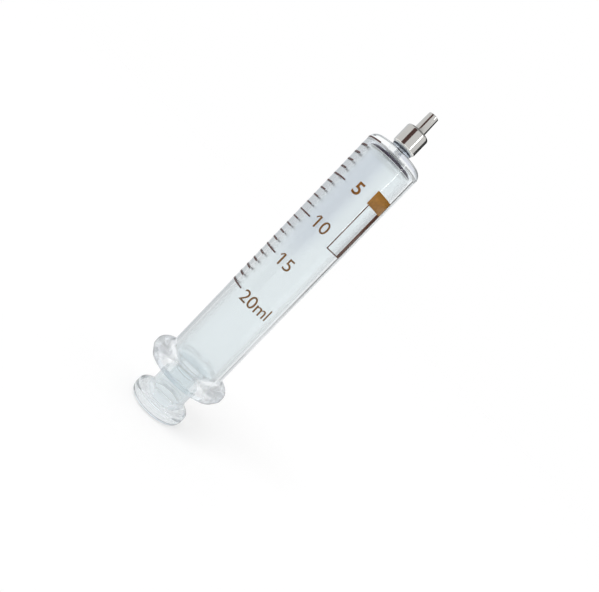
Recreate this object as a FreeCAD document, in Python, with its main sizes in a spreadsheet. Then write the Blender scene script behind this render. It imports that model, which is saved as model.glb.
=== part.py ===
"""All-glass syringe of 20 ml with a metal slip tip, in millimetres.

It stands on its thumb knob with the plunger fully in.  Z is the axis of the bore
and points to the tip, and the origin is the centre of the knob's flat end.
"""
import FreeCAD, Part
import os
import re
import Sketcher

# Driving sizes: radii, lengths, walls, clearances and the rounding or bevel of edges.
SIZES = {
    "knob_radius": 10.85,
    "knob_thickness": 5.1,
    "knob_slope": 2.4,
    "knob_edge": 0.8,
    "knob_back": 2.5,
    "knob_wall": 2.3,
    "stem_radius": 7.2,
    "stem_wall": 1.45,
    "stem_length": 10.7,
    "shoulder_rise": 2.3,
    "ground_length": 102.15,
    "ground_wall": 1.3,
    "nose_wall": 1.9,
    "nose_bevel": 2.4,
    "cavity_bevel": 1.2,
    "fit_clearance": 0.03,
    "nose_clearance": 0.05,
    "bore_radius": 9.8,
    "bore_depth": 104.9,
    "barrel_wall": 1.4,
    "floor_bevel": 1.6,
    "mouth_bevel": 0.5,
    "end_wall": 2.8,
    "corner_round": 2.9,
    "flange_radius": 15.75,
    "flange_back_radius": 14.0,
    "flange_slope": 2.6,
    "flange_thickness": 6.2,
    "flange_edge": 2.2,
    "flange_root": 1.8,
    "neck_radius": 3.8,
    "neck_length": 1.9,
    "neck_root": 0.5,
    "spigot_radius": 2.9,
    "spigot_length": 6.2,
    "channel_radius": 0.9,
    "cement_film": 0.15,
    "cement_bead": 0.4,
    "collar_radius": 4.55,
    "collar_length": 7.95,
    "collar_bevel": 0.9,
    "cone_mouth_radius": 2.0,
    "cone_length": 7.2,
    "cone_taper": 0.06,
    "cone_bevel": 0.25,
}

# Radii and heights that follow from the sizes.  Heights are above the knob's flat end.
WORKED_OUT = {
    "stem_bore_radius": "stem_radius - stem_wall",
    "ground_radius": "bore_radius - fit_clearance",
    "cavity_radius": "ground_radius - ground_wall",
    "knob_neck": "knob_thickness + knob_slope",
    "shoulder_height": "knob_neck + stem_length",
    "shoulder_top": "shoulder_height + shoulder_rise",
    "nose_height": "shoulder_height + ground_length",
    "cavity_top": "nose_height - nose_wall",
    "barrel_radius": "bore_radius + barrel_wall",
    "floor_height": "nose_height + nose_clearance",
    "mouth_height": "floor_height - bore_depth",
    "flange_back": "mouth_height + flange_slope",
    "flange_front": "mouth_height + flange_thickness",
    "end_height": "floor_height + end_wall",
    "seat_height": "end_height + neck_length",
    "spigot_end": "seat_height + spigot_length",
    "socket_radius": "spigot_radius + cement_film",
    "socket_floor": "spigot_end + cement_film",
    "collar_rear": "seat_height + cement_film",
    "collar_edge": "min(collar_bevel; (collar_radius - socket_radius) * 0.9)",
    "collar_flat": "collar_radius - collar_edge",
    "bead_foot": "seat_height - cement_bead",
    "bead_radius": "max(neck_radius; collar_flat) + cement_bead",
    "bead_height": "collar_rear + bead_radius - collar_flat",
    "cone_height": "collar_rear + collar_length",
    "cone_base_radius": "cone_mouth_radius + cone_length * cone_taper / 2",
    "tip_height": "cone_height + cone_length",
}


def make_sheet(doc):
    """Put the sizes, and below them what follows from them, in one sheet."""
    sheet = doc.addObject("Spreadsheet::Sheet", "Sizes")
    cells = {name: str(value) for name, value in SIZES.items()}
    cells.update({name: f"={formula}" for name, formula in WORKED_OUT.items()})
    for row, (name, content) in enumerate(cells.items(), start=1):
        sheet.set(f"A{row}", name)
        sheet.set(f"B{row}", content)
        sheet.setAlias(f"B{row}", name)
    doc.recompute()
    return sheet


def linked(formula):
    """Make a formula of size names read the sheet."""
    return re.sub(r"[a-z]\w*", lambda word: with_sheet(word.group()), formula)


def with_sheet(word):
    return f"Sizes.{word}" if word in SIZES or word in WORKED_OUT else word


def origin_feature(body, role):
    return next(item for item in body.Origin.OriginFeatures if item.Role == role)


def draw_half_section(body, name, corners):
    """Draw a closed outline beside the axis, from (radius, height) pairs of formulas."""
    sketch = body.newObject("Sketcher::SketchObject", name)
    sketch.AttachmentSupport = (origin_feature(body, "XZ_Plane"), [""])
    sketch.MapMode = "FlatFace"
    count = len(corners)
    rough = [FreeCAD.Vector(1 + index % 2, 1 + index, 0) for index in range(count)]
    for index in range(count):
        sketch.addGeometry(Part.LineSegment(rough[index], rough[(index + 1) % count]), False)
    for index in range(count):
        following = (index + 1) % count
        sketch.addConstraint(Sketcher.Constraint("Coincident", index, 2, following, 1))
    for index, (radius, height) in enumerate(corners):
        hold_corner(sketch, index, "DistanceX", -2, f"{name}_radius_{index}", radius)
        hold_corner(sketch, index, "DistanceY", -1, f"{name}_height_{index}", height)
    return sketch


def hold_corner(sketch, line, kind, axis, name, formula):
    """Hold the start of a line on an axis, or at a distance from the origin."""
    if formula == "0":
        sketch.addConstraint(Sketcher.Constraint("PointOnObject", line, 1, axis))
        return
    number = sketch.addConstraint(Sketcher.Constraint(kind, -1, 1, line, 1, 1.0))
    sketch.renameConstraint(number, name)
    sketch.setExpression(f"Constraints.{name}", linked(formula))


def turn(body, kind, name, corners):
    """Revolve a half section about Z, as a Revolution that adds or a Groove that cuts."""
    before = body.Tip.Shape.Volume if body.Tip else 0.0
    sketch = draw_half_section(body, f"{name}_section", corners)
    feature = body.newObject(f"PartDesign::{kind}", name)
    feature.Profile = sketch
    feature.ReferenceAxis = (sketch, ["V_Axis"])
    feature.Angle = 360
    body.Document.recompute()
    change = feature.Shape.Volume - before
    if (change > 0) != (kind == "Revolution"):
        raise RuntimeError(f"{name} changed the volume by {change:.3f}")
    return feature


def ease_edges(body, sheet, kind, name, width, places):
    """Round or bevel the circles that lie at the named (radius, height) places."""
    base = body.Tip
    edges = [circle_at(base.Shape, sheet, *place) for place in places]
    feature = body.newObject(f"PartDesign::{kind}", name)
    feature.Base = (base, edges)
    feature.setExpression("Radius" if kind == "Fillet" else "Size", linked(width))
    body.Document.recompute()
    return feature


def circle_at(shape, sheet, radius_name, height_name):
    """Name the circular edge of a shape at a radius and a height."""
    radius = sheet.get(radius_name)
    height = 0.0 if height_name == "0" else sheet.get(height_name)
    for index, edge in enumerate(shape.Edges, start=1):
        if not isinstance(edge.Curve, Part.Circle):
            continue
        if abs(edge.Curve.Radius - radius) < 1e-4 and abs(edge.Curve.Center.z - height) < 1e-4:
            return f"Edge{index}"
    raise RuntimeError(f"no edge at {radius_name}, {height_name}")


def new_body(doc, label):
    body = doc.addObject("PartDesign::Body", label)
    body.Label = label
    body.Placement = FreeCAD.Placement()
    return body


def make_plunger(doc, sheet):
    """Thumb knob, stem and ground body: one hollow piece of glass, closed at both ends."""
    body = new_body(doc, "plunger")
    turn(body, "Revolution", "plunger_outside", [
        ("0", "0"),
        ("knob_radius", "0"),
        ("knob_radius", "knob_thickness"),
        ("stem_radius", "knob_neck"),
        ("stem_radius", "shoulder_height"),
        ("ground_radius", "shoulder_top"),
        ("ground_radius", "nose_height"),
        ("0", "nose_height"),
    ])
    turn(body, "Groove", "plunger_cavity", [
        ("0", "knob_wall"),
        ("stem_bore_radius", "knob_wall"),
        ("stem_bore_radius", "shoulder_height"),
        ("cavity_radius", "shoulder_top"),
        ("cavity_radius", "cavity_top"),
        ("0", "cavity_top"),
    ])
    ease_edges(body, sheet, "Fillet", "thumb_rim", "min(knob_back; knob_thickness * 0.55)",
               [("knob_radius", "0")])
    ease_edges(body, sheet, "Chamfer", "knob_rim", "min(knob_edge; knob_thickness * 0.4)",
               [("knob_radius", "knob_thickness")])
    ease_edges(body, sheet, "Chamfer", "nose_edge", "nose_bevel",
               [("ground_radius", "nose_height")])
    ease_edges(body, sheet, "Chamfer", "cavity_ends", "cavity_bevel",
               [("stem_bore_radius", "knob_wall"), ("cavity_radius", "cavity_top")])
    return body


def make_barrel(doc, sheet):
    """Graduated tube with its finger flange, closed end and nozzle: one piece of glass."""
    body = new_body(doc, "barrel")
    turn(body, "Revolution", "barrel_outside", [
        ("0", "mouth_height"),
        ("flange_back_radius", "mouth_height"),
        ("flange_radius", "flange_back"),
        ("flange_radius", "flange_front"),
        ("barrel_radius", "flange_front"),
        ("barrel_radius", "end_height"),
        ("neck_radius", "end_height"),
        ("neck_radius", "seat_height"),
        ("spigot_radius", "seat_height"),
        ("spigot_radius", "spigot_end"),
        ("0", "spigot_end"),
    ])
    turn(body, "Groove", "bore", [
        ("0", "mouth_height"),
        ("bore_radius", "mouth_height"),
        ("bore_radius", "floor_height"),
        ("0", "floor_height"),
    ])
    turn(body, "Groove", "nozzle_channel", [
        ("0", "floor_height"),
        ("channel_radius", "floor_height"),
        ("channel_radius", "spigot_end"),
        ("0", "spigot_end"),
    ])
    ease_edges(body, sheet, "Fillet", "flange_rim",
               "min(flange_edge; (flange_front - flange_back) * 0.7)",
               [("flange_radius", "flange_front")])
    ease_edges(body, sheet, "Fillet", "melted_corner", "corner_round",
               [("barrel_radius", "end_height")])
    ease_edges(body, sheet, "Chamfer", "flange_foot", "flange_root",
               [("barrel_radius", "flange_front")])
    ease_edges(body, sheet, "Chamfer", "neck_foot", "neck_root", [("neck_radius", "end_height")])
    ease_edges(body, sheet, "Chamfer", "bore_floor", "floor_bevel",
               [("bore_radius", "floor_height")])
    ease_edges(body, sheet, "Chamfer", "bore_mouth", "mouth_bevel",
               [("bore_radius", "mouth_height")])
    return body


def make_cement(doc):
    """Film between the metal tip and the glass, squeezed out in a bead behind the collar."""
    body = new_body(doc, "tip_cement")
    turn(body, "Revolution", "cement_layer", [
        ("spigot_radius", "seat_height"),
        ("neck_radius", "seat_height"),
        ("neck_radius", "bead_foot"),
        ("bead_radius", "bead_height"),
        ("collar_flat", "collar_rear"),
        ("socket_radius", "collar_rear"),
        ("socket_radius", "socket_floor"),
        ("channel_radius", "socket_floor"),
        ("channel_radius", "spigot_end"),
        ("spigot_radius", "spigot_end"),
    ])
    return body


def make_metal_tip(doc, sheet):
    """Turned collar bonded against the glass neck, with the tapered cone for a needle."""
    body = new_body(doc, "metal_tip")
    turn(body, "Revolution", "tip_outside", [
        ("0", "collar_rear"),
        ("collar_radius", "collar_rear"),
        ("collar_radius", "cone_height"),
        ("cone_base_radius", "cone_height"),
        ("cone_mouth_radius", "tip_height"),
        ("0", "tip_height"),
    ])
    turn(body, "Groove", "socket", [
        ("0", "collar_rear"),
        ("socket_radius", "collar_rear"),
        ("socket_radius", "socket_floor"),
        ("0", "socket_floor"),
    ])
    turn(body, "Groove", "tip_channel", [
        ("0", "socket_floor"),
        ("channel_radius", "socket_floor"),
        ("channel_radius", "tip_height"),
        ("0", "tip_height"),
    ])
    ease_edges(body, sheet, "Chamfer", "collar_ends", "collar_edge",
               [("collar_radius", "collar_rear"), ("collar_radius", "cone_height")])
    ease_edges(body, sheet, "Chamfer", "cone_end", "cone_bevel",
               [("cone_mouth_radius", "tip_height")])
    return body


def check_and_export(doc, bodies):
    """Stop on anything that failed, then write one file for each piece."""
    for item in doc.Objects:
        if "Invalid" in item.State or "Error" in item.State:
            raise RuntimeError(f"{item.Name} is {item.State}")
    for body in bodies:
        if body.Shape.isNull() or not body.Shape.isValid():
            raise RuntimeError(f"{body.Label} has no valid shape")
    os.makedirs("parts", exist_ok=True)
    for body in bodies:
        shape = body.Shape
        shape.exportStep(f"parts/{body.Label}.step")
        box = shape.BoundBox
        print(f"{body.Label}: {len(shape.Solids)} solid, {shape.Volume:.1f} mm3, "
              f"z {box.ZMin:.2f} to {box.ZMax:.2f}, radius {box.XMax:.2f}")


def main():
    doc = FreeCAD.newDocument("GlassSyringe")
    sheet = make_sheet(doc)
    bodies = [
        make_plunger(doc, sheet),
        make_barrel(doc, sheet),
        make_cement(doc),
        make_metal_tip(doc, sheet),
    ]
    doc.recompute()
    check_and_export(doc, bodies)


main()
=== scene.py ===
# A 20 ml all-glass syringe that stands on its thumb knob, seen from in front and slightly above.
import bpy
import bmesh
from math import atan2, cos, pi, radians, sin, tan
from mathutils import Matrix, Vector


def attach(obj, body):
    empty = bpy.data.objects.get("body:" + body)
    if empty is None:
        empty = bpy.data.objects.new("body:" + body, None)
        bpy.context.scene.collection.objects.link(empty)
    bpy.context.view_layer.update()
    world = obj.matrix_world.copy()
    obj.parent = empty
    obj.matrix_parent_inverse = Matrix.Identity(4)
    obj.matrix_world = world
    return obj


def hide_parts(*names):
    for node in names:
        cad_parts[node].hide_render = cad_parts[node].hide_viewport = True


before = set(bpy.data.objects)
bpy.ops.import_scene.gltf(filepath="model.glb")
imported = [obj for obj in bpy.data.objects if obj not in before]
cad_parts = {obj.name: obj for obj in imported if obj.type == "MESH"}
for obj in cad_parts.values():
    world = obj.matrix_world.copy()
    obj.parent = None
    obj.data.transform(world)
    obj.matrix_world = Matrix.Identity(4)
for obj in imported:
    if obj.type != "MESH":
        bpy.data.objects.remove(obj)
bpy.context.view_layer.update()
mm = 0.001
print("frame loaded")

# lathe work

lathe = {"turns": 192, "arcSteps": 8, "merge": 1e-7, "near": 0.05, "flatWeight": 100}


def addProfile(bm, corners, closed=False):
    # corners are (radius, height, rounding) in millimetres; each rounding becomes an arc
    points = [bm.verts.new((radius * mm, 0, height * mm)) for radius, height, rounding in corners]
    lines = [bm.edges.new(pair) for pair in zip(points, points[1:])]
    if closed:
        lines.append(bm.edges.new((points[-1], points[0])))
    for point, (radius, height, rounding) in zip(points, corners):
        if rounding > 0:
            before, after = [(edge.other_vert(point).co - point.co) for edge in point.link_edges]
            setback = rounding * mm / tan(before.angle(after) / 2)
            bmesh.ops.bevel(bm, geom=[point], offset=setback, offset_type="OFFSET",
                            segments=lathe["arcSteps"], profile=0.5, affect="VERTICES", material=-1)


def turnShell(corners, closed=False, inward=False):
    # one closed surface of revolution about Z
    bm = bmesh.new()
    addProfile(bm, corners, closed)
    bmesh.ops.spin(bm, geom=bm.verts[:] + bm.edges[:], cent=(0, 0, 0), axis=(0, 0, 1),
                   angle=2 * pi, steps=lathe["turns"], use_merge=True)
    bmesh.ops.remove_doubles(bm, verts=bm.verts[:], dist=lathe["merge"])
    bmesh.ops.recalc_face_normals(bm, faces=bm.faces[:])
    if inward:
        bmesh.ops.reverse_faces(bm, faces=bm.faces[:])
    return bm


def makePiece(name, shells, body, stands=()):
    # join the shells in one mesh object that rides on its body
    mesh = bpy.data.meshes.new(name)
    whole = bmesh.new()
    for shell in shells:
        part = bpy.data.meshes.new("part")
        shell.to_mesh(part)
        shell.free()
        whole.from_mesh(part)
        bpy.data.meshes.remove(part)
    for face in whole.faces:
        face.smooth = True
    whole.to_mesh(mesh)
    whole.free()
    piece = bpy.data.objects.new(name, mesh)
    bpy.context.scene.collection.objects.link(piece)
    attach(piece, body)
    if stands:
        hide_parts(*stands)
    return piece


def finishFaces(piece, finishes, choose):
    # each face takes the finish that its distance from the axis and its height call for
    for material in finishes.values():
        piece.data.materials.append(material)
    names = list(finishes)
    for face in piece.data.polygons:
        across, height = Vector(face.center[:2]).length / mm, face.center.z / mm
        face.material_index = names.index(choose(across, height))


def keepFlats(piece):
    # flat faces keep their own normals beside the rounded edges
    flats = piece.modifiers.new("flats", "WEIGHTED_NORMAL")
    flats.keep_sharp = True
    flats.weight = lathe["flatWeight"]
    flats.mode = "FACE_AREA"


# materials

def newMaterial(name):
    material = bpy.data.materials.new(name)
    material.use_nodes = True
    nodes = material.node_tree.nodes
    return material, nodes, material.node_tree.links, nodes["Principled BSDF"]


def feed(links, value, socket):
    # a socket takes either a number or what another socket gives
    if isinstance(value, (int, float)):
        socket.default_value = value
    else:
        links.new(value, socket)


def addMath(nodes, links, operation, first, second):
    step = nodes.new("ShaderNodeMath")
    step.operation = operation
    feed(links, first, step.inputs[0])
    feed(links, second, step.inputs[1])
    return step.outputs[0]


def mixShaders(nodes, links, share, first, second):
    mix = nodes.new("ShaderNodeMixShader")
    feed(links, share, mix.inputs["Fac"])
    links.new(first.outputs[0], mix.inputs[1])
    links.new(second.outputs[0], mix.inputs[2])
    return mix


def showOnSurface(nodes, links, shader):
    links.new(shader.outputs[0], nodes["Material Output"].inputs["Surface"])


noiseMiddle = (0.3, 0.7)


def addNoise(nodes, links, grains, detail=3):
    # noise over the piece's own coordinates, with its grains per metre along X, Y and Z
    place = nodes.new("ShaderNodeTexCoord")
    stretch = nodes.new("ShaderNodeMapping")
    stretch.inputs["Scale"].default_value = grains
    noise = nodes.new("ShaderNodeTexNoise")
    noise.inputs["Scale"].default_value = 1
    noise.inputs["Detail"].default_value = detail
    links.new(place.outputs["Object"], stretch.inputs["Vector"])
    links.new(stretch.outputs["Vector"], noise.inputs["Vector"])
    return noise.outputs[0]


def spreadNoise(nodes, links, noise, socket, low, high):
    # the middle of the noise drives a number between two values
    spread = nodes.new("ShaderNodeMapRange")
    spread.inputs["From Min"].default_value, spread.inputs["From Max"].default_value = noiseMiddle
    spread.inputs["To Min"].default_value = low
    spread.inputs["To Max"].default_value = high
    links.new(noise, spread.inputs["Value"])
    links.new(spread.outputs["Result"], socket)


def mottle(nodes, links, noise, socket, colour, darker):
    # the colour drifts towards a darker share of itself
    drift = nodes.new("ShaderNodeMix")
    drift.data_type = "RGBA"
    spreadNoise(nodes, links, noise, drift.inputs["Factor"], 0, 1)
    drift.inputs["A"].default_value = (*colour, 1)
    drift.inputs["B"].default_value = (*[part * darker for part in colour], 1)
    links.new(drift.outputs["Result"], socket)


def addBump(nodes, links, noise, shader, strength, depth):
    bump = nodes.new("ShaderNodeBump")
    bump.inputs["Strength"].default_value = strength
    bump.inputs["Distance"].default_value = depth * mm
    links.new(noise, bump.inputs["Height"])
    links.new(bump.outputs["Normal"], shader.inputs["Normal"])


def setGlass(shader):
    shader.inputs["Transmission Weight"].default_value = 1
    shader.inputs["IOR"].default_value = clearGlass["ior"]


clearGlass = {
    # edgeShade and rimShade: painted shade that darkens the glass's colour towards its edge-on parts, from
    # edgeStart to full at edgeFull and darkest at the rim
    "colour": (0.93, 0.955, 0.965), "edgeShade": (0.78, 0.81, 0.83), "rimShade": (0.42, 0.46, 0.50),
    "edgeStart": 0.45, "edgeFull": 0.86, "ior": 1.47, "shadowShare": 0.85,
    "caughtDepths": {"Ray Depth": 8, "Glossy Depth": 2}, "caughtLight": 0.5,
}


def openGlass(nodes, links, shader, colour):
    # shadow rays mostly pass, and rays caught inside the glass end in pale light instead of black
    path = nodes.new("ShaderNodeLightPath")
    clear = nodes.new("ShaderNodeBsdfTransparent")
    passing = addMath(nodes, links, "MULTIPLY", path.outputs["Is Shadow Ray"], clearGlass["shadowShare"])
    body = mixShaders(nodes, links, passing, shader, clear)
    light = nodes.new("ShaderNodeEmission")
    light.inputs["Color"].default_value = (*colour, 1)
    light.inputs["Strength"].default_value = clearGlass["caughtLight"]
    tests = [addMath(nodes, links, "GREATER_THAN", path.outputs[depth], limit)
             for depth, limit in clearGlass["caughtDepths"].items()]
    caught = addMath(nodes, links, "MAXIMUM", *tests)
    showOnSurface(nodes, links, mixShaders(nodes, links, caught, body, light))


def addFacing(nodes):
    # 0 where the surface is met head-on and 1 where it is edge-on
    facing = nodes.new("ShaderNodeLayerWeight")
    facing.inputs["Blend"].default_value = 0.5
    return facing.outputs["Facing"]


def addEdgeShade(nodes, links, colour, edgeShade, edgeFull):
    # painted shade: the glass's colour darkens where its surface turns edge-on, standing in for the dark
    # edges that refraction gives there
    ramp = nodes.new("ShaderNodeValToRGB")
    stops = ramp.color_ramp.elements
    stops.new(edgeFull)
    steps = ((clearGlass["edgeStart"], (1, 1, 1)), (edgeFull, edgeShade), (1, clearGlass["rimShade"]))
    for stop, (position, edgeShading) in zip(stops, steps):
        stop.position = position
        stop.color = (*[a * b for a, b in zip(colour, edgeShading)], 1)
    links.new(addFacing(nodes), ramp.inputs["Fac"])
    return ramp.outputs["Color"]


def makeClearGlass(name, colour=clearGlass["colour"], edges=True):
    material, nodes, links, shader = newMaterial(name)
    setGlass(shader)
    shader.inputs["Roughness"].default_value = 0
    if edges:
        edgeShading = addEdgeShade(nodes, links, colour, clearGlass["edgeShade"], clearGlass["edgeFull"])
        links.new(edgeShading, shader.inputs["Base Color"])
    else:
        shader.inputs["Base Color"].default_value = (*colour, 1)
    openGlass(nodes, links, shader, colour)
    return material


softGlass = {
    # edgeShade: faint painted shade where the glass turns edge-on; outlineFrom and outlineTo: how edge-on
    # the glass is where the painted dark outline starts and where it is full
    "edgeShade": (0.93, 0.94, 0.95), "edgeFull": 0.8, "outlineFrom": 0.72, "outlineTo": 0.92,
    "waves": (170, 170, 170), "waveStrength": 0.5, "waveDepth": 0.25,
}


def addPaintedOutline(nodes, links, edgeShading, colour):
    # painted shade: the first surface that the camera's rays meet is painted dark where it is edge-on, a
    # dark outline standing in for the strokes that refraction gives there
    path = nodes.new("ShaderNodeLightPath")
    line = nodes.new("ShaderNodeMapRange")
    line.inputs["From Min"].default_value = softGlass["outlineFrom"]
    line.inputs["From Max"].default_value = softGlass["outlineTo"]
    mix = nodes.new("ShaderNodeMix")
    mix.data_type = "RGBA"
    links.new(addFacing(nodes), line.inputs["Value"])
    links.new(path.outputs["Is Camera Ray"], line.inputs["To Max"])
    links.new(line.outputs["Result"], mix.inputs["Factor"])
    links.new(edgeShading, mix.inputs["A"])
    mix.inputs["B"].default_value = (*colour, 1)
    return mix.outputs["Result"]


def makeSoftGlass(name, share, colour=(1, 1, 1), outline=None):
    # glass whose far side shows through softly, with only faint lines of painted shade where it bends the
    # light, and a painted dark outline where an outline colour is given
    material, nodes, links, shader = newMaterial(name)
    setGlass(shader)
    shader.inputs["Roughness"].default_value = 0
    clear = nodes.new("ShaderNodeBsdfTransparent")
    edgeShading = addEdgeShade(nodes, links, colour, softGlass["edgeShade"], softGlass["edgeFull"])
    if outline:
        edgeShading = addPaintedOutline(nodes, links, edgeShading, outline)
    links.new(edgeShading, shader.inputs["Base Color"])
    links.new(edgeShading, clear.inputs["Color"])
    waves = addNoise(nodes, links, softGlass["waves"], detail=1)
    addBump(nodes, links, waves, shader, softGlass["waveStrength"], softGlass["waveDepth"])
    showOnSurface(nodes, links, mixShaders(nodes, links, share, shader, clear))
    return material


nickel = {
    "colour": (0.82, 0.81, 0.78), "darker": 0.94, "roughness": (0.08, 0.13), "stains": (500, 500, 300),
    "turningMarks": (250, 250, 5000), "markStrength": 0.3, "markDepth": 0.004,
}


def makeNickel():
    material, nodes, links, shader = newMaterial("polishedNickel")
    shader.inputs["Metallic"].default_value = 1
    marks = addNoise(nodes, links, nickel["turningMarks"])
    stains = addNoise(nodes, links, nickel["stains"])
    mottle(nodes, links, stains, shader.inputs["Base Color"], nickel["colour"], nickel["darker"])
    spreadNoise(nodes, links, marks, shader.inputs["Roughness"], *nickel["roughness"])
    addBump(nodes, links, marks, shader, nickel["markStrength"], nickel["markDepth"])
    return material


enamel = {
    "paler": 1.15, "darker": 0.72, "roughness": (0.35, 0.55), "grains": (1400, 1400, 1400),
    "grainStrength": 0.4, "grainDepth": 0.02,
}


def makePrint(name, colour):
    material, nodes, links, shader = newMaterial(name)
    grains = addNoise(nodes, links, enamel["grains"])
    paler = [part * enamel["paler"] for part in colour]
    mottle(nodes, links, grains, shader.inputs["Base Color"], paler, enamel["darker"])
    spreadNoise(nodes, links, grains, shader.inputs["Roughness"], *enamel["roughness"])
    addBump(nodes, links, grains, shader, enamel["grainStrength"], enamel["grainDepth"])
    return material


# barrel

barrel = {
    "radius": 11.2, "bore": 9.8, "mouth": 15.5, "mouthRound": 0.6, "floor": 120.4, "floorRound": 0.9,
    "flangeRadius": 15.75, "flangeThickness": 6.2, "flangeBackRadius": 14.0, "flangeSlope": 2.6,
    "flangeBend": 0.8, "flangeEdge": 2.2, "flangeRoot": 2.3, "end": 123.2, "endRound": 2.9,
    "neckRadius": 3.8, "neckRoot": 0.5, "seat": 125.1, "spigotRadius": 2.9, "spigotEnd": 131.3,
    "channel": 0.9, "neckColour": (0.66, 0.72, 0.79), "channelShare": 0.7,
    # the outline colour is painted shade: a dark outline painted at the flange's edge-on parts
    "flangeColour": (0.94, 0.96, 0.972), "flangeShare": 0.42, "outline": (0.05, 0.055, 0.07),
}


def makeBarrel():
    b = barrel
    front = b["mouth"] + b["flangeThickness"]
    shell = turnShell([
        (b["bore"], b["mouth"], b["mouthRound"]),
        (b["flangeBackRadius"], b["mouth"], b["flangeBend"]),
        (b["flangeRadius"], b["mouth"] + b["flangeSlope"], b["flangeBend"]),
        (b["flangeRadius"], front, b["flangeEdge"]),
        (b["radius"], front, b["flangeRoot"]),
        (b["radius"], b["end"], b["endRound"]),
        (b["neckRadius"], b["end"], b["neckRoot"]),
        (b["neckRadius"], b["seat"], 0),
        (b["spigotRadius"], b["seat"], 0),
        (b["spigotRadius"], b["spigotEnd"], 0),
        (b["channel"], b["spigotEnd"], 0),
        (b["channel"], b["floor"], 0),
        (b["bore"], b["floor"], b["floorRound"]),
    ], closed=True)
    piece = makePiece("glassBarrel", [shell], "barrel", ["barrel"])
    near = lathe["near"]

    def choose(across, height):
        if across < b["channel"] + near:
            return "channel"
        if height > b["end"] - near and across < b["neckRadius"] + b["neckRoot"]:
            return "neck"
        if height < front + b["flangeRoot"] and across > b["bore"] + near:
            return "flange"
        return "clear"

    finishFaces(piece, {
        "clear": makeClearGlass("clearBarrelGlass"),
        "neck": makeClearGlass("neckGlass", b["neckColour"]),
        "channel": makeSoftGlass("channelGlass", b["channelShare"]),
        "flange": makeSoftGlass("flangeGlass", b["flangeShare"], b["flangeColour"], b["outline"]),
    }, choose)
    keepFlats(piece)


# plunger

plunger = {
    "knobRadius": 10.85, "knobThickness": 5.1, "knobSlope": 2.4, "knobBack": 2.7, "knobEdge": 1.3,
    "knobWall": 2.3, "stemRadius": 7.2, "stemBore": 5.75, "stemRoot": 2.6, "shoulder": 18.2,
    "shoulderRise": 2.3, "shoulderRound": 1.6, "radius": 9.77, "cavity": 8.47, "nose": 120.35,
    "noseWall": 1.9, "noseRound": 3.6, "cavityRound": 1.1,
    "clearColour": (0.72, 0.77, 0.79), "liningColour": (0.97, 0.99, 0.99),
    "groundColour": (0.94, 0.955, 0.96), "groundRoughness": (0.23, 0.27), "groundGrains": (6000, 6000, 6000),
    # rimFrom to rimTo: the nose's edge, where a near-black ring of painted shade goes all round
    "rimFrom": 118.5, "rimTo": 119.95, "rimPaintedShadeColour": (0.025, 0.012, 0.04), "rimRoughness": 0.3,
    "rimGloss": 0.1, "rimDepth": 2,
    # the outline colour is painted shade: a dark outline painted at the knob's edge-on parts
    "knobColour": (0.825, 0.87, 0.895), "knobShare": 0.15, "outline": (0.04, 0.045, 0.055),
}


def makeGroundGlass():
    # a fine even grind, a little rougher in places
    p = plunger
    material, nodes, links, shader = newMaterial("groundPlungerGlass")
    setGlass(shader)
    shader.inputs["Base Color"].default_value = (*p["groundColour"], 1)
    grains = addNoise(nodes, links, p["groundGrains"])
    spreadNoise(nodes, links, grains, shader.inputs["Roughness"], *p["groundRoughness"])
    openGlass(nodes, links, shader, p["groundColour"])
    return material


def makeNoseRingPaintedShade():
    # painted shade: the polished edge of the nose is painted nearly black, standing in for how dark it looks
    # when seen straight through the barrel's wall; deeper rays pass through it
    p = plunger
    material, nodes, links, shader = newMaterial("noseRingPaintedShade")
    shader.inputs["Base Color"].default_value = (*p["rimPaintedShadeColour"], 1)
    shader.inputs["Roughness"].default_value = p["rimRoughness"]
    shader.inputs["Specular IOR Level"].default_value = p["rimGloss"]
    path = nodes.new("ShaderNodeLightPath")
    deep = addMath(nodes, links, "GREATER_THAN", path.outputs["Ray Depth"], p["rimDepth"])
    clear = nodes.new("ShaderNodeBsdfTransparent")
    showOnSurface(nodes, links, mixShaders(nodes, links, deep, shader, clear))
    return material


def makePlunger():
    p = plunger
    top = p["shoulder"] + p["shoulderRise"]
    outside = turnShell([
        (0, 0, 0),
        (p["knobRadius"], 0, p["knobBack"]),
        (p["knobRadius"], p["knobThickness"], p["knobEdge"]),
        (p["stemRadius"], p["knobThickness"] + p["knobSlope"], p["stemRoot"]),
        (p["stemRadius"], p["shoulder"], p["shoulderRound"]),
        (p["radius"], top, p["shoulderRound"]),
        (p["radius"], p["nose"], p["noseRound"]),
        (0, p["nose"], 0),
    ])
    inside = turnShell([
        (0, p["knobWall"], 0),
        (p["stemBore"], p["knobWall"], p["cavityRound"]),
        (p["stemBore"], p["shoulder"], p["cavityRound"]),
        (p["cavity"], top, p["cavityRound"]),
        (p["cavity"], p["nose"] - p["noseWall"], p["cavityRound"]),
        (0, p["nose"] - p["noseWall"], 0),
    ], inward=True)
    piece = makePiece("glassPlunger", [outside, inside], "plunger", ["plunger"])
    near = lathe["near"]

    def choose(across, height):
        if across > p["radius"] - near and height > top:
            return "ground"
        # the nose's edge takes a ring of painted shade
        if p["rimFrom"] < height < p["rimTo"]:
            return "paintedShadeRim"
        if height > top or across < p["stemBore"] + near and height > p["knobWall"] - near:
            return "lining"
        if height < p["knobThickness"] + p["knobSlope"]:
            return "knob"
        return "clear"

    finishFaces(piece, {
        "clear": makeClearGlass("clearPlungerGlass", p["clearColour"]),
        "ground": makeGroundGlass(),
        "lining": makeClearGlass("plungerLining", p["liningColour"], edges=False),
        "paintedShadeRim": makeNoseRingPaintedShade(),
        "knob": makeSoftGlass("knobGlass", p["knobShare"], p["knobColour"], p["outline"]),
    }, choose)
    keepFlats(piece)


# metal tip

metalTip = {
    "collarRadius": 4.55, "collarLength": 7.95, "collarEdge": 1.0, "coneBase": 2.216, "coneMouth": 2.0,
    "coneLength": 7.2, "coneEdge": 0.25, "film": 0.15, "bead": 0.4,
}


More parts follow.
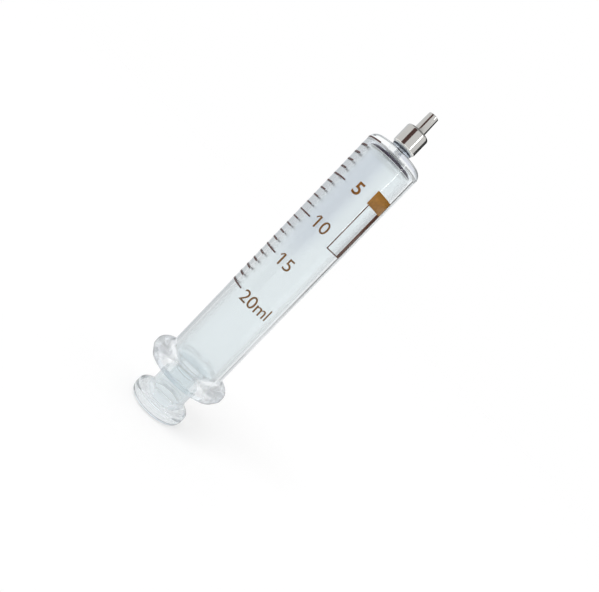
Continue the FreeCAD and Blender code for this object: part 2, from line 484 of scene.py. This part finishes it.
def makeMetalTip():
    t = metalTip
    b = barrel
    rear = b["seat"] + t["film"]
    coneHeight = rear + t["collarLength"]
    tipEnd = coneHeight + t["coneLength"]
    socket = b["spigotRadius"] + t["film"]
    shell = turnShell([
        (socket, rear, 0),
        (t["collarRadius"], rear, t["collarEdge"]),
        (t["collarRadius"], coneHeight, t["collarEdge"]),
        (t["coneBase"], coneHeight, 0),
        (t["coneMouth"], tipEnd, t["coneEdge"]),
        (b["channel"], tipEnd, 0),
        (b["channel"], b["spigotEnd"] + t["film"], 0),
        (socket, b["spigotEnd"] + t["film"], 0),
    ], closed=True)
    piece = makePiece("nickelTip", [shell], "barrel", ["metal_tip"])
    piece.data.materials.append(makeNickel())
    keepFlats(piece)


cement = {
    "colour": (0.31, 0.34, 0.40), "darker": 0.75, "roughness": 0.7, "grains": (1800, 1800, 1800),
    "grainStrength": 0.6, "grainDepth": 0.08,
}


def makeGreyCement():
    material, nodes, links, shader = newMaterial("greyCement")
    grains = addNoise(nodes, links, cement["grains"], detail=5)
    mottle(nodes, links, grains, shader.inputs["Base Color"], cement["colour"], cement["darker"])
    shader.inputs["Roughness"].default_value = cement["roughness"]
    addBump(nodes, links, grains, shader, cement["grainStrength"], cement["grainDepth"])
    return material


def makeCement():
    t = metalTip
    b = barrel
    socket = b["spigotRadius"] + t["film"]
    floor = b["spigotEnd"] + t["film"]
    rear = b["seat"] + t["film"]
    flat = t["collarRadius"] - t["collarEdge"]
    shell = turnShell([
        (b["spigotRadius"], b["seat"], 0),
        (b["neckRadius"], b["seat"], 0),
        (b["neckRadius"], b["seat"] - t["bead"], 0),
        (b["neckRadius"] + t["bead"], rear + b["neckRadius"] + t["bead"] - flat, 0),
        (flat, rear, 0),
        (socket, rear, 0),
        (socket, floor, 0),
        (b["channel"], floor, 0),
        (b["channel"], b["spigotEnd"], 0),
        (b["spigotRadius"], b["spigotEnd"], 0),
    ], closed=True)
    piece = makePiece("cementRing", [shell], "barrel", ["tip_cement"])
    piece.data.materials.append(makeGreyCement())


# printed scale

# each of the numbers has its words, its mark, the angle of its middle, its lift and its weight
scale = {
    "zero": 120.4, "top": 20, "spacing": 3.314, "width": 0.55, "longEvery": 5, "longStart": 35.4,
    "shortStart": 55, "finish": 102, "film": 0.03, "sink": 0.01, "stepAngle": 2,
    "colour": (0.09, 0.035, 0.03),
    "numberColour": (0.18, 0.08, 0.012), "fiveColour": (0.23, 0.085, 0.002),
    "letterHeight": 4.5, "capShare": 0.7, "letterLift": 0.4,
    "flag": {"across": 1.1, "drop": 1.3, "width": 0.45},
    "numbers": [("5", 5, -7, 0.85, 0.12), ("10", 10, -9.5, 0.6, 0.02), ("15", 15, -9.5, 0.1, 0.02),
                ("20ml", 20, 6, -0.6, 0.02)],
}


def addStroke(bm, low, high, fromAngle, toAngle):
    # a band of enamel on the barrel, between two heights and two angles from the front
    s = scale
    inner = barrel["radius"] - s["sink"]
    outer = barrel["radius"] + s["film"]
    ring = [(inner, low), (outer, low), (outer, high), (inner, high)]
    points = [bm.verts.new((0, -radius * mm, height * mm)) for radius, height in ring]
    face = bm.faces.new(points)
    turn = Matrix.Rotation(radians(fromAngle), 3, "Z")
    bmesh.ops.rotate(bm, verts=points, cent=(0, 0, 0), matrix=turn)
    steps = max(2, round(abs(toAngle - fromAngle) / s["stepAngle"]))
    bmesh.ops.spin(bm, geom=[face, *face.edges, *face.verts], cent=(0, 0, 0), axis=(0, 0, 1),
                   angle=radians(toAngle - fromAngle), steps=steps)


def makeTicks():
    s = scale
    whole = bmesh.new()
    for mark in range(s["top"] + 1):
        start = s["longStart"] if mark % s["longEvery"] == 0 else s["shortStart"]
        height = s["zero"] - mark * s["spacing"]
        addStroke(whole, height - s["width"] / 2, height + s["width"] / 2, -s["finish"], -start)
    piece = makePiece("scaleTicks", [whole], "barrel")
    piece.data.materials.append(makePrint("brownEnamel", s["colour"]))


def addFlag(shape):
    # the short slanted stroke at the head of a figure one
    left = min(vert.co.x for vert in shape.verts)
    top = max(vert.co.y for vert in shape.verts)
    f = scale["flag"]
    middle = Vector((left - f["across"] / 2 * mm, top - f["drop"] / 2 * mm, 0))
    length = Vector((f["across"], f["drop"])).length * mm
    place = Matrix.Translation(middle) @ Matrix.Rotation(atan2(f["drop"], f["across"]), 4, "Z")
    size = Matrix.Diagonal((length, f["width"] * mm, scale["film"] * mm, 1))
    bmesh.ops.create_cube(shape, size=1, matrix=place @ size)


def makeNumbers():
    s = scale
    meshes = {"scaleNumbers": [], "scaleFive": []}
    for words, mark, centre, lift, weight in s["numbers"]:
        curve = bpy.data.curves.new("number", "FONT")
        curve.body = words
        curve.size = s["letterHeight"] / s["capShare"] * mm
        curve.align_x = "CENTER"
        curve.extrude = s["film"] * mm / 2
        curve.offset = weight * mm
        text = bpy.data.objects.new("number", curve)
        bpy.context.scene.collection.objects.link(text)
        bpy.context.view_layer.update()
        mesh = bpy.data.meshes.new_from_object(text)
        bpy.data.objects.remove(text)
        shape = bmesh.new()
        shape.from_mesh(mesh)
        bmesh.ops.remove_doubles(shape, verts=shape.verts[:], dist=lathe["merge"])
        if words.startswith("1"):
            addFlag(shape)
        height = s["zero"] - mark * s["spacing"] - s["letterHeight"] / 2 + lift
        for vert in shape.verts:
            angle = vert.co.x / (barrel["radius"] * mm) + radians(centre)
            reach = barrel["radius"] * mm + vert.co.z + s["film"] * mm * s["letterLift"]
            vert.co = Vector((reach * sin(angle), -reach * cos(angle), vert.co.y + height * mm))
        meshes["scaleFive" if words == "5" else "scaleNumbers"].append(shape)
    for name, colour in (("scaleNumbers", s["numberColour"]), ("scaleFive", s["fiveColour"])):
        piece = makePiece(name, meshes[name], "barrel")
        piece.data.materials.append(makePrint(name + "Enamel", colour))
        for face in piece.data.polygons:
            face.use_smooth = False


# marking field: a plain ruled frame with a plain block

field = {
    "low": 83.6, "high": 108.8, "left": 24.5, "right": 64, "line": 0.4, "rightLines": 5, "block": 103.2,
    "blockLeft": 20.5, "lineColour": (0.11, 0.04, 0.02), "blockColour": (0.34, 0.15, 0.015),
}


def makeField():
    f = field
    lineAngle = f["line"] / barrel["radius"] * 180 / pi
    band = f["right"] - f["rightLines"] * lineAngle
    lines = bmesh.new()
    addStroke(lines, f["low"], f["block"], f["left"], f["left"] + lineAngle)
    addStroke(lines, f["low"], f["block"], band, f["right"])
    addStroke(lines, f["low"], f["low"] + f["line"], f["left"] + lineAngle, band)
    ruled = makePiece("fieldLines", [lines], "barrel")
    ruled.data.materials.append(makePrint("brownLines", f["lineColour"]))
    block = bmesh.new()
    addStroke(block, f["block"], f["high"], f["blockLeft"], f["right"])
    patch = makePiece("fieldBlock", [block], "barrel")
    patch.data.materials.append(makePrint("amberBlock", f["blockColour"]))


# stage

stage = {
    "floorSize": 3.0, "floorColour": (0.93, 0.93, 0.93), "floorRoughness": 0.9,
    "floorGlow": 0.6, "floorGlowStrength": 1.08, "lightLevel": 0.62, "mirrored": 0.68,
    "skyDarkFrom": 0.62, "skyDarkTo": 0.80, "skyDark": 0.35,
}


def anyRay(nodes, links):
    # 1 for rays that show the background: from the camera, mirrored or through glass
    rays = nodes.new("ShaderNodeLightPath").outputs
    seen = addMath(nodes, links, "MAXIMUM", rays["Is Camera Ray"], rays["Is Glossy Ray"])
    return addMath(nodes, links, "MAXIMUM", seen, rays["Is Transmission Ray"])


def makeFloor():
    bm = bmesh.new()
    bmesh.ops.create_grid(bm, x_segments=1, y_segments=1, size=stage["floorSize"])
    mesh = bpy.data.meshes.new("floor")
    bm.to_mesh(mesh)
    bm.free()
    floor = bpy.data.objects.new("floor", mesh)
    bpy.context.scene.collection.objects.link(floor)
    material, nodes, links, shader = newMaterial("paleFloor")
    shader.inputs["Base Color"].default_value = (*stage["floorColour"], 1)
    shader.inputs["Roughness"].default_value = stage["floorRoughness"]
    glow = nodes.new("ShaderNodeEmission")
    glow.inputs["Color"].default_value = (1, 1, 1, 1)
    glow.inputs["Strength"].default_value = stage["floorGlowStrength"]
    share = addMath(nodes, links, "MULTIPLY", anyRay(nodes, links), stage["floorGlow"])
    showOnSurface(nodes, links, mixShaders(nodes, links, share, shader, glow))
    mesh.materials.append(material)


def makeWorld():
    world = bpy.data.worlds.new("studio")
    bpy.context.scene.world = world
    world.use_nodes = True
    nodes, links = world.node_tree.nodes, world.node_tree.links
    background = nodes["Background"]
    background.inputs["Color"].default_value = (1, 1, 1, 1)
    background.inputs["Strength"].default_value = stage["lightLevel"]
    shown = nodes.new("ShaderNodeBackground")
    shown.inputs["Strength"].default_value = 1
    place = nodes.new("ShaderNodeTexCoord")
    split = nodes.new("ShaderNodeSeparateXYZ")
    ramp = nodes.new("ShaderNodeValToRGB")
    first, last = ramp.color_ramp.elements
    first.position = stage["skyDarkFrom"]
    first.color = (1, 1, 1, 1)
    last.position = stage["skyDarkTo"]
    last.color = (stage["skyDark"],) * 3 + (1,)
    links.new(place.outputs["Generated"], split.inputs[0])
    links.new(split.outputs["Z"], ramp.inputs["Fac"])
    # the camera sees plain white, other rays see the room darken upwards
    path = nodes.new("ShaderNodeLightPath")
    plain = nodes.new("ShaderNodeMix")
    plain.data_type = "RGBA"
    links.new(path.outputs["Is Camera Ray"], plain.inputs["Factor"])
    links.new(ramp.outputs["Color"], plain.inputs["A"])
    plain.inputs["B"].default_value = (1, 1, 1, 1)
    # rays mirrored off a surface see a darker room than those that pass through glass
    mirrored = nodes.new("ShaderNodeMix")
    mirrored.data_type = "RGBA"
    mirrored.blend_type = "MULTIPLY"
    outside = addMath(nodes, links, "SUBTRACT", path.outputs["Is Glossy Ray"],
                      path.outputs["Is Transmission Ray"])
    outside.node.use_clamp = True
    links.new(outside, mirrored.inputs["Factor"])
    links.new(plain.outputs["Result"], mirrored.inputs["A"])
    mirrored.inputs["B"].default_value = (stage["mirrored"],) * 3 + (1,)
    links.new(mirrored.outputs["Result"], shown.inputs["Color"])
    mix = mixShaders(nodes, links, anyRay(nodes, links), background, shown)
    links.new(mix.outputs[0], nodes["World Output"].inputs["Surface"])


sunLamp = {"angle": 35, "strength": 1.4, "turn": -35, "rise": 55}


def makeSun():
    light = bpy.data.lights.new("softSun", "SUN")
    light.angle = radians(sunLamp["angle"])
    light.energy = sunLamp["strength"]
    holder = bpy.data.objects.new("softSun", light)
    turn, rise = radians(sunLamp["turn"]), radians(sunLamp["rise"])
    source = Vector((sin(turn) * cos(rise), -cos(turn) * cos(rise), sin(rise)))
    holder.rotation_euler = source.to_track_quat("Z", "Y").to_euler()
    holder.visible_glossy = False
    holder.visible_transmission = False
    bpy.context.scene.collection.objects.link(holder)


def fadeDownwards(nodes, links, glow, card):
    # the card is paler towards its foot
    place = nodes.new("ShaderNodeTexCoord")
    split = nodes.new("ShaderNodeSeparateXYZ")
    spread = nodes.new("ShaderNodeMapRange")
    spread.inputs["From Min"].default_value, spread.inputs["From Max"].default_value = card["fade"]
    spread.inputs["To Min"].default_value = card["lowLevel"]
    spread.inputs["To Max"].default_value = card["level"]
    links.new(place.outputs["Object"], split.inputs[0])
    links.new(split.outputs["Z"], spread.inputs["Value"])
    links.new(spread.outputs["Result"], glow.inputs["Strength"])


wallRays = {"turns": 1, "slack": 0.5, "passes": 4}


def showInWallOnly(nodes, links, glow):
    # the card is met by rays that the bore's surface has turned back once inside the barrel's wall
    path = nodes.new("ShaderNodeLightPath")
    turned = addMath(nodes, links, "COMPARE", path.outputs["Glossy Depth"], wallRays["turns"])
    turned.node.inputs[2].default_value = wallRays["slack"]
    shallow = addMath(nodes, links, "LESS_THAN", path.outputs["Transmission Depth"], wallRays["passes"])
    both = addMath(nodes, links, "MULTIPLY", turned, shallow)
    clear = nodes.new("ShaderNodeBsdfTransparent")
    return mixShaders(nodes, links, both, clear, glow)


# cards round the object, met only by the rays that each of them names; turn is the angle from
# the front, positive towards +X, spread its width as an angle, and away, low and high are in metres
cards = [
    {"name": "darkCardLeft", "away": 0.4, "turn": -34, "spread": 36, "low": -0.1, "high": 0.5,
     "colour": (0.09, 0.05, 0.045), "level": 1, "rays": ("glossy",)},
    {"name": "darkCardRear", "away": 0.4, "turn": 143, "spread": 70, "low": 0.197, "high": 0.5,
     "colour": (1, 1, 1), "level": 0.05, "rays": ("glossy",)},
    {"name": "darkEdge", "away": 0.07, "turn": 136.5, "spread": 12, "low": 0.001, "high": 0.2,
     "colour": (1, 1, 1), "level": 0.01, "lowLevel": 0.48, "fade": (0.034, 0.064),
     "rays": ("glossy", "transmission"), "wallOnly": True},
    {"name": "greyEdge", "away": 0.07, "turn": -140, "spread": 30, "low": 0.001, "high": 0.2,
     "colour": (0.95, 0.98, 1), "level": 0.68, "rays": ("glossy", "transmission"), "wallOnly": True},
    {"name": "brightRightLow", "away": 0.16, "turn": 142, "spread": 50, "low": 0.001, "high": 0.04,
     "colour": (1, 1, 1), "level": 1.12, "rays": ("glossy", "transmission")},
    {"name": "brightRight", "away": 0.42, "turn": 142, "spread": 50, "low": 0.001, "high": 0.19,
     "colour": (1, 1, 1), "level": 1.12, "rays": ("glossy", "transmission")},
    {"name": "paleCardRear", "away": 0.4, "turn": -152, "spread": 56, "low": 0.05, "high": 0.4,
     "colour": (0.92, 0.93, 1), "level": 0.85, "rays": ("glossy", "transmission")},
    {"name": "brightStrip", "away": 0.4, "turn": 49, "spread": 3, "low": 0.1, "high": 0.32,
     "colour": (1, 1, 1), "level": 8, "rays": ("glossy",)},
]


def makeCards():
    for card in cards:
        half = card["away"] * tan(radians(card["spread"] / 2))
        bm = bmesh.new()
        corners = [(-half, card["low"]), (half, card["low"]), (half, card["high"]), (-half, card["high"])]
        bm.faces.new([bm.verts.new((x, -card["away"], z)) for x, z in corners])
        bmesh.ops.rotate(bm, verts=bm.verts[:], cent=(0, 0, 0),
                         matrix=Matrix.Rotation(radians(card["turn"]), 3, "Z"))
        mesh = bpy.data.meshes.new(card["name"])
        bm.to_mesh(mesh)
        bm.free()
        board = bpy.data.objects.new(card["name"], mesh)
        bpy.context.scene.collection.objects.link(board)
        for ray in ("camera", "diffuse", "glossy", "transmission", "volume_scatter", "shadow"):
            setattr(board, f"visible_{ray}", ray in card["rays"])
        material = bpy.data.materials.new(card["name"])
        material.use_nodes = True
        nodes, links = material.node_tree.nodes, material.node_tree.links
        glow = nodes.new("ShaderNodeEmission")
        glow.inputs["Color"].default_value = (*card["colour"], 1)
        glow.inputs["Strength"].default_value = card["level"]
        if "fade" in card:
            fadeDownwards(nodes, links, glow, card)
        shown = showInWallOnly(nodes, links, glow) if card.get("wallOnly") else glow
        showOnSurface(nodes, links, shown)
        mesh.materials.append(material)


cameraView = {
    "distance": 218.0, "height": 86.2, "yaw": 2.58, "pitch": -5.56, "roll": 44.25,
    "focalPixels": 627.5, "imageWidth": 599, "sensor": 36, "clipStart": 5,
}


def makeCamera():
    c = cameraView
    lens = bpy.data.cameras.new("camera")
    lens.sensor_width = c["sensor"]
    lens.lens = c["focalPixels"] / c["imageWidth"] * c["sensor"]
    lens.clip_start = c["clipStart"] * mm
    camera = bpy.data.objects.new("camera", lens)
    yaw, pitch = radians(c["yaw"]), radians(c["pitch"])
    ahead = Vector((sin(yaw) * cos(pitch), cos(yaw) * cos(pitch), sin(pitch)))
    level = ahead.to_track_quat("-Z", "Y").to_matrix().to_4x4()
    roll = Matrix.Rotation(radians(c["roll"]), 4, "Z")
    camera.matrix_world = Matrix.Translation((0, -c["distance"] * mm, c["height"] * mm)) @ level @ roll
    bpy.context.scene.collection.objects.link(camera)
    bpy.context.scene.camera = camera


makeCamera()
makeWorld()
makeFloor()
makeSun()
makeCards()
print("stage set")
makeBarrel()
makePlunger()
makeMetalTip()
makeCement()
print("glass and metal made")
makeTicks()
makeNumbers()
makeField()
print("scale printed")

scene = bpy.context.scene
scene.view_settings.view_transform = "Standard"
